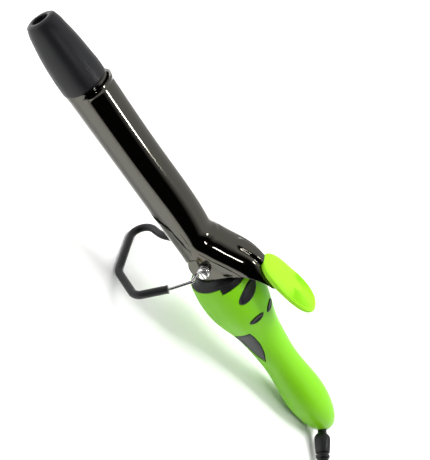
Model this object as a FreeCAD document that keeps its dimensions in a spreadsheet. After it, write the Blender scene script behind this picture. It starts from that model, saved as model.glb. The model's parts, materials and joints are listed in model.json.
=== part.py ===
import FreeCAD, Part
import math
import os
import Sketcher

# Curling iron with a spring clamp, resting on a table on its wire rest.
#
# Every piece of the iron is drawn in the iron's own frame: X runs from the cool tip (X = 0) along
# the barrel's axis to the handle's end, Z points to the lever, and -Y is the side with the large
# power button.  One common Placement then tips the iron as it rests on its wire rest and stands
# the model on Z = 0, with the origin under the middle of the iron.  The mains cord, its coil and
# its plug lie on the table and are drawn straight in the resting frame.

V = FreeCAD.Vector
os.makedirs("parts", exist_ok=True)
doc = FreeCAD.newDocument("curling_iron")

# ---------------------------------------------------------------- driving dimensions (mm, degrees)
sheet = doc.addObject("Spreadsheet::Sheet", "Dims")
DIMENSIONS = [
    ("rest_tilt", 13.1), ("rest_shift", -171.05), ("rest_across", 3.2), ("rest_lift", 88.87),
    ("tip_length", 41.0), ("tip_end_radius", 7.9), ("tip_mid_radius", 11.4),
    ("tip_base_radius", 13.1), ("tip_hole_radius", 4.6), ("tip_hole_depth", 8.0),
    ("tip_spigot_radius", 11.4), ("tip_spigot_length", 8.0),
    ("barrel_radius", 12.7), ("barrel_wall", 1.2), ("barrel_end", 190.0),
    ("core_radius", 9.0), ("core_start", 66.0), ("core_end", 152.0),
    ("slot_width", 12.4), ("slot_height", 3.0),
    ("spoon_start", 43.2), ("spoon_end", 150.0), ("spoon_radius", 14.3), ("shell_wall", 1.0),
    ("spoon_half_angle", 81.0),
    ("pivot_along", 173.5), ("pivot_height", 2.2), ("pivot_shank", 1.5), ("pivot_hole", 1.56),
    ("ear_inner", 13.5), ("ear_outer", 14.8), ("screw_head_radius", 2.7),
    ("bracket_outer", 13.2), ("eye_inner", 16.6), ("eye_thickness", 2.0), ("eye_radius", 3.3),
    ("wire_radius", 1.0), ("sleeve_radius", 2.6), ("stand_lean", 15.3), ("stand_reach", 55.8),
    ("pad_along", 213.2), ("pad_height", 37.6), ("pad_length", 50.0), ("pad_width", 24.0),
    ("pad_thickness", 5.0), ("pad_slope", 14.0),
    ("collar_start", 185.0), ("mouth_upper", 193.0), ("mouth_lower", 189.0), ("handle_end", 350.5),
    ("handle_wall", 2.2), ("parting_height", 4.8),
    ("ball_along", 345.0), ("ball_radius", 7.6), ("relief_yaw", 72.0), ("relief_droop", 6.0),
    ("relief_length", 42.0), ("relief_radius", 5.6), ("cord_radius", 3.1),
    ("coil_mean_radius", 31.0), ("coil_half", 9.4),
    ("button_gap", 0.3), ("button_proud", 0.7),
]
for row, (alias, value) in enumerate(DIMENSIONS, start=1):
    sheet.set(f"A{row}", alias)
    sheet.set(f"B{row}", str(value))
    sheet.setAlias(f"B{row}", alias)
doc.recompute()


def dim(alias):
    """The number in one of the sheet's cells."""
    return float(sheet.get(alias))


TILT = dim("rest_tilt")
REST = FreeCAD.Placement(
    V(dim("rest_shift"), dim("rest_across"), dim("rest_lift")), FreeCAD.Rotation(V(0, 1, 0), TILT)
)
PIVOT = V(dim("pivot_along"), 0, dim("pivot_height"))
sub_parts = {}


def keep(node, obj, placement=REST):
    """Name a finished sub-part and put it in the resting frame."""
    obj.Label = node
    obj.Placement = placement.multiply(obj.Placement) if placement else obj.Placement
    sub_parts[node] = obj
    return obj


def feature(node, shape, placement=REST):
    """A sub-part whose form needs Part's own lofts, sweeps or cuts."""
    obj = doc.addObject("Part::Feature", node)
    obj.Shape = shape
    return keep(node, obj, placement)


def plane_of(body, role):
    return next(item for item in body.Origin.OriginFeatures if item.Role == role)


def turned(node, outline):
    """A body turned about the X axis.

    outline lists (along, radius) pairs; each is an expression on the sheet's cells, and the
    profile is closed by straight lines between them.
    """
    body = doc.addObject("PartDesign::Body", node)
    sketch = body.newObject("Sketcher::SketchObject", node + "_profile")
    sketch.AttachmentSupport = [(plane_of(body, "XZ_Plane"), "")]
    sketch.MapMode = "FlatFace"
    points = [V(value_of(along), value_of(radius), 0) for along, radius in outline]
    count = len(points)
    for index in range(count):
        sketch.addGeometry(Part.LineSegment(points[index], points[(index + 1) % count]), False)
    for index in range(count):
        sketch.addConstraint(
            Sketcher.Constraint("Coincident", index, 2, (index + 1) % count, 1)
        )
    for index, (along, radius) in enumerate(outline):
        for kind, text in (("DistanceX", along), ("DistanceY", radius)):
            number = value_of(text)
            if number == 0:
                axis = -1 if kind == "DistanceY" else -2
                sketch.addConstraint(Sketcher.Constraint("PointOnObject", index, 1, axis))
                continue
            place = sketch.addConstraint(
                Sketcher.Constraint(kind, -1, 1, index, 1, number)
            )
            sketch.setExpression(f"Constraints[{place}]", with_sheet(text))
    turn = body.newObject("PartDesign::Revolution", node + "_turn")
    turn.Profile = sketch
    turn.ReferenceAxis = (sketch, ["H_Axis"])
    turn.Angle = 360.0
    return body


def with_sheet(text):
    """The expression with the sheet's name before each alias."""
    words = sorted((alias for alias, _ in DIMENSIONS), key=len, reverse=True)
    out = ""
    index = 0
    while index < len(text):
        word = next((w for w in words if text.startswith(w, index)), None)
        if word:
            out += "Dims." + word
            index += len(word)
        else:
            out += text[index]
            index += 1
    return out


def value_of(text):
    """Work out an outline expression: sums and differences of cells and numbers."""
    total = 0.0
    for term in text.replace("-", "+-").split("+"):
        term = term.strip()
        if not term:
            continue
        sign = -1.0 if term.startswith("-") else 1.0
        term = term.lstrip("-").strip()
        total += sign * (float(term) if term[0].isdigit() else dim(term))
    return total


def cylinder_along(start, end, radius, y=0.0, z=0.0):
    return Part.makeCylinder(radius, end - start, V(start, y, z), V(1, 0, 0))


def crosswise(radius, y_from, y_to, x, z):
    return Part.makeCylinder(radius, y_to - y_from, V(x, y_from, z), V(0, 1, 0))


def block(x_from, x_to, y_from, y_to, z_from, z_to):
    corner = V(x_from, y_from, z_from)
    return Part.makeBox(x_to - x_from, y_to - y_from, z_to - z_from, corner)


def prism(points, y_from, y_to):
    """A flat outline in the XZ plane, carried from y_from to y_to."""
    ring = [V(x, y_from, z) for x, z in points]
    face = Part.Face(Part.makePolygon(ring + [ring[0]]))
    return face.extrude(V(0, y_to - y_from, 0))


# ------------------------------------------------------------------------------ cool tip and barrel
tip_tail = "tip_length + tip_spigot_length"
cool_tip = turned("cool_tip_body", [
    ("0", "tip_hole_radius"), ("0", "tip_end_radius - 0.9"), ("0.9", "tip_end_radius"),
    ("4", "tip_end_radius + 1.4"), ("12", "tip_mid_radius"), ("24", "tip_base_radius - 0.4"),
    ("34", "tip_base_radius"), ("tip_length", "tip_base_radius"),
    ("tip_length", "tip_spigot_radius"), (tip_tail, "tip_spigot_radius"), (tip_tail, "1.6"),
    ("tip_hole_depth", "1.6"), ("tip_hole_depth", "tip_hole_radius"),
])
keep("cool_tip", cool_tip)

tip_screw = turned("tip_screw_body", [
    ("tip_hole_depth - 2.4", "0"), ("tip_hole_depth - 2.4", "2.6"),
    ("tip_hole_depth - 0.6", "3.3"), ("tip_hole_depth", "3.3"), ("tip_hole_depth", "1.5"),
    ("tip_length + 18", "1.5"), ("tip_length + 18", "0"),
])
keep("tip_screw", tip_screw)

end_plug = turned("end_plug_body", [
    (tip_tail, "1.6"), (tip_tail, "tip_spigot_radius"),
    (tip_tail + " + 8", "tip_spigot_radius"), (tip_tail + " + 8", "1.6"),
])
keep("end_plug", end_plug)

barrel_tube = turned("barrel_tube_body", [
    ("tip_length", "barrel_radius - barrel_wall"), ("tip_length", "barrel_radius"),
    ("barrel_end", "barrel_radius"), ("barrel_end", "barrel_radius - barrel_wall"),
])
keep("barrel_tube", barrel_tube)

# Heater: an aluminium carrier with a slot for the flat ceramic element, wrapped in mica.
carrier = doc.addObject("Part::Cylinder", "carrier_round")
carrier.setExpression("Radius", "Dims.core_radius")
carrier.setExpression("Height", "Dims.core_end - Dims.core_start")
carrier.Placement = FreeCAD.Placement(V(dim("core_start"), 0, 0), FreeCAD.Rotation(V(0, 1, 0), 90))
slot = doc.addObject("Part::Box", "carrier_slot")
slot.Length = 120
slot.setExpression("Width", "Dims.slot_width")
slot.setExpression("Height", "Dims.slot_height")
slot.Placement = FreeCAD.Placement(
    V(dim("core_start") - 10, -dim("slot_width") / 2, -dim("slot_height") / 2), FreeCAD.Rotation()
)
heater_core = doc.addObject("Part::Cut", "heater_core_cut")
heater_core.Base = carrier
heater_core.Tool = slot
keep("heater_core", heater_core)

element = doc.addObject("Part::Box", "ceramic_plate")
element.Length = 78
element.setExpression("Width", "Dims.slot_width - 0.6")
element.setExpression("Height", "Dims.slot_height - 0.4")
element.Placement = FreeCAD.Placement(
    V(dim("core_start") + 4, -dim("slot_width") / 2 + 0.3, -dim("slot_height") / 2 + 0.2),
    FreeCAD.Rotation(),
)
keep("heater_element", element)

mica = turned("mica_body", [
    ("core_start", "core_radius"), ("core_start", "core_radius + 0.4"),
    ("core_end", "core_radius + 0.4"), ("core_end", "core_radius"),
])
keep("mica_sleeve", mica)

THERMISTOR_END = dim("core_end") + 5.0
bead = Part.makeSphere(1.3, V(dim("core_end") + 1.3, 0, 6.0))
bead = bead.fuse(cylinder_along(dim("core_end") + 1.3, THERMISTOR_END, 0.7, 0, 6.0))
feature("thermistor", bead.removeSplitter())

FUSE_START = dim("core_end") + 7.0
fuse = cylinder_along(FUSE_START, FUSE_START + 11.0, 2.0, 0, -5.5)
for lead_from in (FUSE_START - 4.0, FUSE_START + 11.0):
    fuse = fuse.fuse(cylinder_along(lead_from, lead_from + 4.0, 0.5, 0, -5.5))
feature("thermal_fuse", fuse.removeSplitter())

# Heat barrier: the pressed fibre bush that holds the hot barrel clear of the handle.
bush = turned("barrel_bush_body", [
    ("barrel_end - 12", "5"), ("barrel_end - 12", "tip_spigot_radius"),
    ("barrel_end", "tip_spigot_radius"), ("barrel_end", "15.2"),
    ("barrel_end + 4", "15.2"), ("barrel_end + 4", "5"),
])
keep("barrel_bush", bush)

# ------------------------------------------------------------------------- hinge bracket and screws
BRACKET_HALF = 6.0
band = cylinder_along(PIVOT.x - BRACKET_HALF, PIVOT.x + BRACKET_HALF, dim("bracket_outer"))
boss = crosswise(3.2, -dim("bracket_outer"), dim("bracket_outer"), PIVOT.x, PIVOT.z)
bracket = band.fuse(boss)
bracket = bracket.cut(cylinder_along(0, 400, dim("barrel_radius")))
bracket = bracket.cut(crosswise(dim("pivot_shank"), -40, 40, PIVOT.x, PIVOT.z))
feature("hinge_bracket", bracket.removeSplitter())

SHANK_START = dim("barrel_radius") + 0.1
HEAD_START = dim("eye_inner") + dim("eye_thickness") + 0.2
HEAD_HEIGHT = 1.7
HEAD_ROUND = 0.7
DRIVE_SLOT_DEPTH = 0.8
DRIVE_SLOT_HALF = 0.35


def outwards(side, y_near, y_far, x_half, z_half):
    """A block across the hinge line on one side, between two distances from the middle."""
    y_from, y_to = sorted((side * y_near, side * y_far))
    return block(
        PIVOT.x - x_half, PIVOT.x + x_half, y_from, y_to, PIVOT.z - z_half, PIVOT.z + z_half
    )


def pivot_screw(side):
    """A shoulder screw; side is -1 for the button side and +1 for the far side."""
    shank = Part.makeCylinder(
        dim("pivot_shank"), HEAD_START - SHANK_START, V(PIVOT.x, side * SHANK_START, PIVOT.z),
        V(0, side, 0),
    )
    head = Part.makeCylinder(
        dim("screw_head_radius"), HEAD_HEIGHT, V(PIVOT.x, side * HEAD_START, PIVOT.z), V(0, side, 0)
    )
    rim = [edge for edge in head.Edges if abs(edge.CenterOfMass.y) > HEAD_START + HEAD_HEIGHT / 2]
    head = head.makeFillet(HEAD_ROUND, [edge for edge in rim if edge.isClosed()])
    head_end = HEAD_START + HEAD_HEIGHT
    drive_slot = outwards(
        side, head_end - DRIVE_SLOT_DEPTH, head_end + 1.0, dim("screw_head_radius") + 1.0,
        DRIVE_SLOT_HALF,
    )
    return shank.fuse(head).cut(drive_slot).removeSplitter()


feature("pivot_screws", Part.makeCompound([pivot_screw(-1), pivot_screw(1)]))

# --------------------------------------------------------------- clamp: spoon, ears and lever in one
# Stations along the lever: distance along, height of the section's centre, its outer radius and
# the angle from its crest down to each edge.
HALF = dim("spoon_half_angle")
CLAMP_STATIONS = [
    (dim("spoon_end"), 0.0, dim("spoon_radius"), HALF), (158, 1.9, 14.3, 86), (166, 6.4, 14.3, 90),
    (175, 12.2, 14.2, 90), (184, 17.0, 13.8, 86), (195, 19.2, 12.7, 60), (207, 21.8, 12.0, 46),
]


def rim_point(x, height, radius, angle):
    return V(x, radius * math.sin(angle), height + radius * math.cos(angle))


def clamp_section(x, height, radius, half_angle):
    """A closed C outline: outer arc, edge, inner arc, edge."""
    inner = radius - dim("shell_wall")
    half = math.radians(half_angle)
    outer_arc = Part.Arc(
        rim_point(x, height, radius, -half), rim_point(x, height, radius, 0),
        rim_point(x, height, radius, half),
    ).toShape()
    inner_arc = Part.Arc(
        rim_point(x, height, inner, half), rim_point(x, height, inner, 0),
        rim_point(x, height, inner, -half),
    ).toShape()
    edge_far = Part.makeLine(
        rim_point(x, height, radius, half), rim_point(x, height, inner, half)
    )
    edge_near = Part.makeLine(
        rim_point(x, height, inner, -half), rim_point(x, height, radius, -half)
    )
    return Part.Wire([outer_arc, edge_far, inner_arc, edge_near])


spoon_face = Part.Face(clamp_section(dim("spoon_start"), 0.0, dim("spoon_radius"), HALF))
spoon = spoon_face.extrude(V(dim("spoon_end") - dim("spoon_start"), 0, 0))
lever = Part.makeLoft([clamp_section(*station) for station in CLAMP_STATIONS], True, True)

EAR_OUTLINE = [
    (160.5, 3.2), (166.0, -4.6), (170.5, -6.8), (175.5, -6.8), (180.0, -4.0), (182.4, 1.0),
    (183.6, 6.5), (187.4, 19.0), (185.0, 22.0), (178.0, 18.5), (172.0, 14.5), (160.0, 5.0),
]
clamp = spoon.fuse(lever)
for side in (-1, 1):
    y_from = min(side * dim("ear_inner"), side * dim("ear_outer"))
    y_to = max(side * dim("ear_inner"), side * dim("ear_outer"))
    ear = prism(EAR_OUTLINE, y_from, y_to)
    ear = ear.cut(crosswise(dim("pivot_hole"), -40, 40, PIVOT.x, PIVOT.z))
    clamp = clamp.fuse(ear)

pad_turn = FreeCAD.Rotation(V(0, 1, 0), -dim("pad_slope"))
pad_place = FreeCAD.Placement(V(dim("pad_along"), 0, dim("pad_height")), pad_turn)
TONGUE_START = -9.0
TONGUE_END = 18.0
TONGUE_HALF = 8.0
RISER_END = -3.8
RISER_HALF = 5.0
tongue = block(TONGUE_START, TONGUE_END, -TONGUE_HALF, TONGUE_HALF, -1.9, -0.7)
tongue = tongue.fuse(block(TONGUE_START, RISER_END, -RISER_HALF, RISER_HALF, -3.8, -1.9))
tongue.Placement = pad_place
clamp = clamp.fuse(tongue)
clamp = clamp.removeSplitter()
feature("clamp_lever", clamp)

# Thumb pad: a long oval silicone cap round the lever's end.
HALF_LONG = dim("pad_length") / 2
HALF_WIDE = dim("pad_width") / 2
straight = HALF_LONG - HALF_WIDE
pad_edges = [
    Part.makeLine(V(-straight, -HALF_WIDE, 0), V(straight, -HALF_WIDE, 0)),
    Part.Arc(V(straight, -HALF_WIDE, 0), V(HALF_LONG, 0, 0), V(straight, HALF_WIDE, 0)).toShape(),
    Part.makeLine(V(straight, HALF_WIDE, 0), V(-straight, HALF_WIDE, 0)),
    Part.Arc(V(-straight, HALF_WIDE, 0), V(-HALF_LONG, 0, 0), V(-straight, -HALF_WIDE, 0)).toShape(),
]
pad = Part.Face(Part.Wire(pad_edges)).extrude(V(0, 0, dim("pad_thickness")))
pad.translate(V(0, 0, -dim("pad_thickness") / 2))
pad = pad.makeFillet(1.8, [edge for edge in pad.Edges if abs(edge.CenterOfMass.z) > 2.0])
pad.Placement = pad_place
pad = pad.cut(clamp)
pad = max(pad.Solids, key=lambda solid: solid.Volume)
feature("thumb_pad", pad)

# Torsion spring: three turns over the barrel's top bracket, drawn as the coil's closed outline.
SPRING_RADIUS = 2.6
SPRING_BORE = 1.6
SPRING_HALF = 6.0
SPRING_AT = V(PIVOT.x, 0, dim("bracket_outer") + SPRING_RADIUS + 0.1)
spring = crosswise(SPRING_RADIUS, -SPRING_HALF, SPRING_HALF, SPRING_AT.x, SPRING_AT.z)
spring = spring.cut(
    crosswise(SPRING_BORE, -SPRING_HALF - 1, SPRING_HALF + 1, SPRING_AT.x, SPRING_AT.z)
)
feature("clamp_spring", spring)

# ---------------------------------------------------------------------------------- wire table rest
LEAN = math.radians(dim("stand_lean"))


def stand_point(reach, across):
    """A point in the rest's own plane: reach from the hinge line, and across it."""
    return V(PIVOT.x - reach * math.sin(LEAN), across, PIVOT.z - reach * math.cos(LEAN))


def rounded_path(corners, radii):
    """Straight runs joined by tangent arcs of the given radii."""
    edges = []
    start = corners[0]
    for before, corner, after, radius in zip(corners, corners[1:], corners[2:], radii):
        to_before = (before - corner).normalize()
        to_after = (after - corner).normalize()
        half_turn = (math.pi - to_before.getAngle(to_after)) / 2
        setback = radius * math.tan(half_turn)
        first = corner + to_before * setback
        last = corner + to_after * setback
        bisector = (to_before + to_after).normalize()
        middle = corner + bisector * (radius / math.cos(half_turn) - radius)
        if (first - start).Length > 1e-6:
            edges.append(Part.LineSegment(start, first).toShape())
        edges.append(Part.Arc(first, middle, last).toShape())
        start = last
    edges.append(Part.LineSegment(start, corners[-1]).toShape())
    return Part.Wire(edges)


def tube_along(path, radius):
    start = path.Edges[0]
    direction = start.tangentAt(start.FirstParameter)
    ring = Part.Wire([Part.makeCircle(radius, start.valueAt(start.FirstParameter), direction)])
    return path.makePipeShell([ring], True, False)


EYE_MIDDLE = dim("eye_inner") + dim("eye_thickness") / 2
REACH = dim("stand_reach")
NEAR_EYE_REACH = 3.6
FAR_EYE_REACH = 3.0
NEAR_NECK = (5.6, -24.2)
NEAR_SHOULDER = (18.0, -29.2)
NEAR_CORNER = (39.5, -34.15)
FOOT_START = (REACH, -12.5)
FOOT_END = (REACH, 38.6)
FAR_KNEE = (31.0, 15.0)
STAND_CORNERS = [
    (NEAR_EYE_REACH, -EYE_MIDDLE), NEAR_NECK, NEAR_SHOULDER, NEAR_CORNER, FOOT_START, FOOT_END,
    FAR_KNEE, (FAR_EYE_REACH, EYE_MIDDLE),
]
STAND_RADII = [2.0, 5.0, 7.0, 12.0, 8.8, 20.0]


def on_run(first, second, share):
    """A point on the straight run between two of the rest's corners."""
    return stand_point(*(a + (b - a) * share for a, b in zip(first, second)))


stand_corners = [stand_point(reach, across) for reach, across in STAND_CORNERS]
stand_path = rounded_path(stand_corners, STAND_RADII)
wire = tube_along(stand_path, dim("wire_radius"))
for eye_from in (dim("eye_inner"), -dim("eye_inner") - dim("eye_thickness")):
    eye = crosswise(dim("eye_radius"), eye_from, eye_from + dim("eye_thickness"), PIVOT.x, PIVOT.z)
    wire = wire.fuse(eye)
wire = wire.cut(crosswise(dim("pivot_hole"), -40, 40, PIVOT.x, PIVOT.z))
feature("stand_wire", wire.removeSplitter())

# Rubber sleeve over the rest's middle; it leaves the two ends of the wire bare.
SLEEVE_GAP = 0.02
sleeve_corners = [on_run(NEAR_SHOULDER, NEAR_CORNER, 0.08)] + stand_corners[3:7]
sleeve_corners.append(on_run(FAR_KNEE, (FAR_EYE_REACH, EYE_MIDDLE), 0.48))
sleeve = tube_along(rounded_path(sleeve_corners, STAND_RADII[2:]), dim("sleeve_radius"))
sleeve = sleeve.cut(tube_along(stand_path, dim("wire_radius") + SLEEVE_GAP))
feature("stand_sleeve", max(sleeve.Solids, key=lambda solid: solid.Volume))

# ------------------------------------------------------------------------------------------- collar
collar = turned("collar_body", [
    ("collar_start", "barrel_radius + 0.05"), ("collar_start", "13.3"),
    ("collar_start + 2.4", "15.2"), ("mouth_lower - 0.1", "18.6"), ("mouth_lower - 0.1", "16.6"),
    ("collar_start + 10", "16.6"), ("collar_start + 10", "15.4"),
    ("collar_start + 5", "15.4"), ("collar_start + 5", "barrel_radius + 0.05"),
])
keep("handle_collar", collar)

# ------------------------------------------------------------------------------------------- handle
# The handle's outline: wide head at the hinge, slim waist, swelling grip and rounded end.
HANDLE_OUTLINE = [
    (186, 18.4), (194, 20.2), (205, 21.2), (216, 20.8), (227, 18.6), (240, 15.4), (258, 13.3),
    (278, 12.3), (298, 13.6), (318, 14.7), (334, 13.0), (345, 10.1), (350.5, 7.4),
]


def handle_solid(inset):
    """The handle's full round form, drawn in by the given inset."""
    start = dim("mouth_lower")
    points = [V(x, 0, radius - inset) for x, radius in HANDLE_OUTLINE]
    curve = Part.BSplineCurve()
    curve.interpolate(points)
    first = points[0]
    last = points[-1]
    outline = [
        curve.toShape(), Part.makeLine(last, V(last.x, 0, 0)),
        Part.makeLine(V(last.x, 0, 0), V(first.x, 0, 0)), Part.makeLine(V(first.x, 0, 0), first),
    ]
    whole = Part.Face(Part.Wire(outline)).revolve(V(0, 0, 0), V(1, 0, 0), 360)
    return whole.common(block(start, 360, -40, 40, -40, 40))


outer_form = handle_solid(0.0)
inner_form = handle_solid(dim("handle_wall"))
ball_seat = Part.makeSphere(dim("ball_radius") + 0.05, V(dim("ball_along"), 0, 0))
SEAT_START = 334.0
inner_form = inner_form.common(block(0, SEAT_START, -40, 40, -40, 40))
hollow = outer_form.cut(inner_form)
hollow = hollow.cut(ball_seat)
hollow = hollow.cut(Part.makeCone(4.0, 7.0, 8.0, V(SEAT_START - 2, 0, 0), V(1, 0, 0)))

# The cord leaves through a ball, turned aside from the handle's axis; its neck has a slot to turn in.
yaw = math.radians(dim("relief_yaw"))
droop = math.radians(dim("relief_droop"))
relief_axis = V(
    math.cos(yaw) * math.cos(droop), -math.sin(yaw) * math.cos(droop), -math.sin(droop)
)
RELIEF_NECK = 3.2
NECK_GAP = 0.5
neck_direction = REST.Rotation.inverted().multVec(relief_axis)
neck_slot = Part.makeCylinder(RELIEF_NECK + NECK_GAP, 20.0, V(dim("ball_along"), 0, 0), neck_direction)
hollow = hollow.cut(neck_slot)


# Buttons: name, distance along, angle round from the top (+ towards -Y), length, width, slant.
BUTTONS = [
    ("power_button", 201.5, 33.5, 19.0, 8.4, -17.0),
    ("lock_button", 201.5, -33.5, 19.0, 8.4, 17.0),
    ("cooler_button", 222.3, 49.0, 10.6, 4.7, 0.0),
    ("hotter_button", 223.8, 11.0, 9.0, 4.7, -19.0),
]


def surface_radius(x):
    """The handle's radius at a station, from the finished outline."""
    cut_line = Part.makeLine(V(x, 0, 0.1), V(x, 0, 40))
    return cut_line.common(outer_form).BoundBox.ZMax


def button_frame(x, angle, slant, radius):
    """A placement on the surface: local Z outwards, local X along the button's length."""
    turn_round = FreeCAD.Rotation(V(1, 0, 0), angle)
    lay_across = FreeCAD.Rotation(V(0, 0, 1), -90.0 - slant)
    outwards = turn_round.multVec(V(0, 0, 1))
    at = V(x, 0, 0) + outwards * radius
    return FreeCAD.Placement(at, turn_round.multiply(lay_across))


def oval(length, width, low, high):
    """An upright oval column between two heights."""
    ellipse = Part.Ellipse(V(0, 0, low), length / 2, width / 2)
    return Part.Face(Part.Wire([ellipse.toShape()])).extrude(V(0, 0, high - low))


BUTTON_DEPTH = 5.2
button_crown = handle_solid(-dim("button_proud"))
wells = []
for name, along, angle, length, width, slant in BUTTONS:
    frame_here = button_frame(along, angle, slant, surface_radius(along))
    cap = oval(length, width, -BUTTON_DEPTH, 3.0)
    cap.Placement = frame_here
    feature(name, cap.common(button_crown))
    gap = dim("button_gap")
    well = oval(length + 2 * gap, width + 2 * gap, -BUTTON_DEPTH - 3.8, 6.0)
    well.Placement = frame_here
    wells.append(well)

PARTING = dim("parting_height")
upper = hollow.common(block(dim("mouth_upper"), 360, -40, 40, PARTING, 40)).cut(wells)
lower = hollow.common(block(dim("mouth_lower"), 360, -40, 40, -40, PARTING)).cut(wells)

# Grip insets: fin-shaped charcoal panels let into both flanks of the lower shell.
INSET_OUTLINE = [
    (231.0, 3.6), (236.0, 3.9), (246.0, 3.4), (255.0, 1.6), (264.5, -2.4), (256.0, -6.4),
    (246.0, -8.8), (236.0, -10.4), (231.5, -7.0),
]
INSET_DEPTH = 1.2
inset_skin = outer_form.cut(handle_solid(INSET_DEPTH))
for name, y_from, y_to in (("grip_inset_front", -30, -2), ("grip_inset_back", 2, 30)):
    panel = prism(INSET_OUTLINE, y_from, y_to).common(inset_skin)
    feature(name, max(panel.Solids, key=lambda solid: solid.Volume))
    lower = lower.cut(panel)

# Screw bosses under the head and the grip, with counterbores from below.
SCREWS_ALONG = [213.0, 306.0]
BOSS_RADIUS = 3.4
BORE_RADIUS = 1.3
COUNTERBORE_RADIUS = 2.7
COUNTERBORE_DEPTH = 7.0
SCREW_HOLD = 6.0
screws = []
for x in SCREWS_ALONG:
    boss = Part.makeCylinder(BOSS_RADIUS, 80, V(x, 0, -40)).common(outer_form)
    lower = lower.fuse(boss.common(block(0, 400, -40, 40, -40, PARTING)))
    upper = upper.fuse(boss.common(block(0, 400, -40, 40, PARTING, 40)))
    bottom = -surface_radius(x)
    bore_length = PARTING + SCREW_HOLD + 1.0 - bottom
    head_top = bottom + COUNTERBORE_DEPTH
    bore = Part.makeCylinder(BORE_RADIUS, bore_length, V(x, 0, bottom))
    lower = lower.cut(Part.makeCylinder(COUNTERBORE_RADIUS, COUNTERBORE_DEPTH + 5, V(x, 0, bottom - 5)))
    lower = lower.cut(bore)
    upper = upper.cut(bore)
    head = Part.makeCylinder(COUNTERBORE_RADIUS - 0.1, 1.8, V(x, 0, head_top - 1.8))
    shank = Part.makeCylinder(BORE_RADIUS - 0.02, PARTING + SCREW_HOLD - head_top, V(x, 0, head_top))
    screws.append(head.fuse(shank).removeSplitter())
feature("handle_upper", upper.removeSplitter())
feature("handle_lower", lower.removeSplitter())
feature("handle_screws", Part.makeCompound(screws))

# ------------------------------------------------------------------------------ inside the handle
BOARD_START = 200.0
BOARD_END = 240.0
BOARD_HALF = 6.5
BOARD_LOW = 6.4
BOARD_HIGH = BOARD_LOW + 1.6
board = block(BOARD_START, BOARD_END, -BOARD_HALF, BOARD_HALF, BOARD_LOW, BOARD_HIGH)
board = board.cut(Part.makeCylinder(BOSS_RADIUS + 0.3, 10, V(SCREWS_ALONG[0], 0, BOARD_LOW - 4)))
feature("circuit_board", board)

SWITCH_SIDE = 4.6
SWITCH_HEIGHT = 2.2
SWITCH_GAP = 1.0
switches = []
for name, along, angle, length, width, slant in BUTTONS:
    corner = V(-SWITCH_SIDE / 2, -SWITCH_SIDE / 2, -BUTTON_DEPTH - SWITCH_GAP - SWITCH_HEIGHT)
    switch = Part.makeBox(SWITCH_SIDE, SWITCH_SIDE, SWITCH_HEIGHT, corner)
    switch.Placement = button_frame(along, angle, slant, surface_radius(along))
    switches.append(switch)
feature("tact_switches", Part.makeCompound(switches))

MODULE_START = 242.0
MODULE_LENGTH = 16.0
feature("power_module", block(MODULE_START, MODULE_START + MODULE_LENGTH, -6.0, 6.0, -5.0, 3.0))

LEAD_START = 198.0
LEAD_END = 240.0
LEAD_OFFSET = 5.5
feature("heater_leads", Part.makeCompound([
    cylinder_along(LEAD_START, LEAD_END, 1.0, side * LEAD_OFFSET, -2.0) for side in (-1, 1)
]))

# --------------------------------------------------------------------- ball swivel and strain relief
ball_centre = REST.multVec(V(dim("ball_along"), 0, 0))


def along_relief(distance):
    return ball_centre + relief_axis * distance


swivel = Part.makeSphere(dim("ball_radius"), ball_centre)
swivel = swivel.cut(Part.makeCylinder(3.2, 30, along_relief(-15), relief_axis))
feature("cord_swivel", swivel.removeSplitter(), None)

# Tapered strain relief with rings, seated in the ball.
FLARE_START = 11.6
FLARE_END = 14.4
RELIEF_END = dim("ball_radius") + dim("relief_length")
RING_COUNT = 6
RING_STEP = 3.6
RING_DEPTH = 0.7
end_radius = dim("cord_radius") + 0.7
profile = [
    V(2.0, 0, 0), V(2.0, RELIEF_NECK, 0), V(FLARE_START, RELIEF_NECK, 0),
    V(FLARE_END, dim("relief_radius"), 0), V(RELIEF_END, end_radius, 0), V(RELIEF_END, 0, 0),
]
relief = Part.Face(Part.makePolygon(profile + [profile[0]])).revolve(V(0, 0, 0), V(1, 0, 0), 360)
for index in range(RING_COUNT):
    at = RELIEF_END - 3.0 - index * RING_STEP
    share = (at - FLARE_END) / (RELIEF_END - FLARE_END)
    local = dim("relief_radius") + (end_radius - dim("relief_radius")) * share
    groove = cylinder_along(at - 1.4, at, local + 1.0).cut(
        cylinder_along(at - 1.5, at + 0.1, local - RING_DEPTH)
    )
    relief = relief.cut(groove)
relief.Placement = FreeCAD.Placement(
    ball_centre, FreeCAD.Rotation(V(1, 0, 0), relief_axis)
)
feature("strain_relief", relief, None)

# ---------------------------------------------------------------- mains cord, laid out on the table
CORD_R = dim("cord_radius")
COIL = V(146.0, -94.2, 0)
COIL_LOW = 0.7
EXIT_GAP = 0.05

# Hand-set route of the two free stretches: out of the strain relief to the coil, and from the
# coil to the plug.
LEAD_POINTS = [
    along_relief(RELIEF_END + EXIT_GAP), along_relief(RELIEF_END + 12.3), V(185.4, -68.4, 4.0),
    V(184.7, -81.6, 3.8), V(183.2, -94.2, 3.8),
]
TAIL_POINTS = [
    V(146.0, -131.4, 16.2), V(135.0, -131.9, 15.7), V(125.0, -130.9, 14.0),
    V(116.0, -127.0, 11.7), V(107.5, -124.2, 9.7), V(99.0, -122.9, 8.5),
]


def cord_tube(points):
    """A free stretch of cord: straight runs and arcs, each arc as large as its runs allow."""
    radii = []
    for before, corner, after in zip(points, points[1:], points[2:]):
        turn = math.pi - (before - corner).getAngle(after - corner)
        shorter = min((before - corner).Length, (after - corner).Length)
        radii.append(0.45 * shorter / math.tan(turn / 2))
    path = rounded_path(points, radii)
    tube = tube_along(path, CORD_R)
    expected = math.pi * CORD_R ** 2 * path.Length
    print("cord arc radii", [round(radius, 1) for radius in radii],
          "length", round(path.Length, 1), "volume ratio", round(tube.Volume / expected, 4))
    return tube


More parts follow.
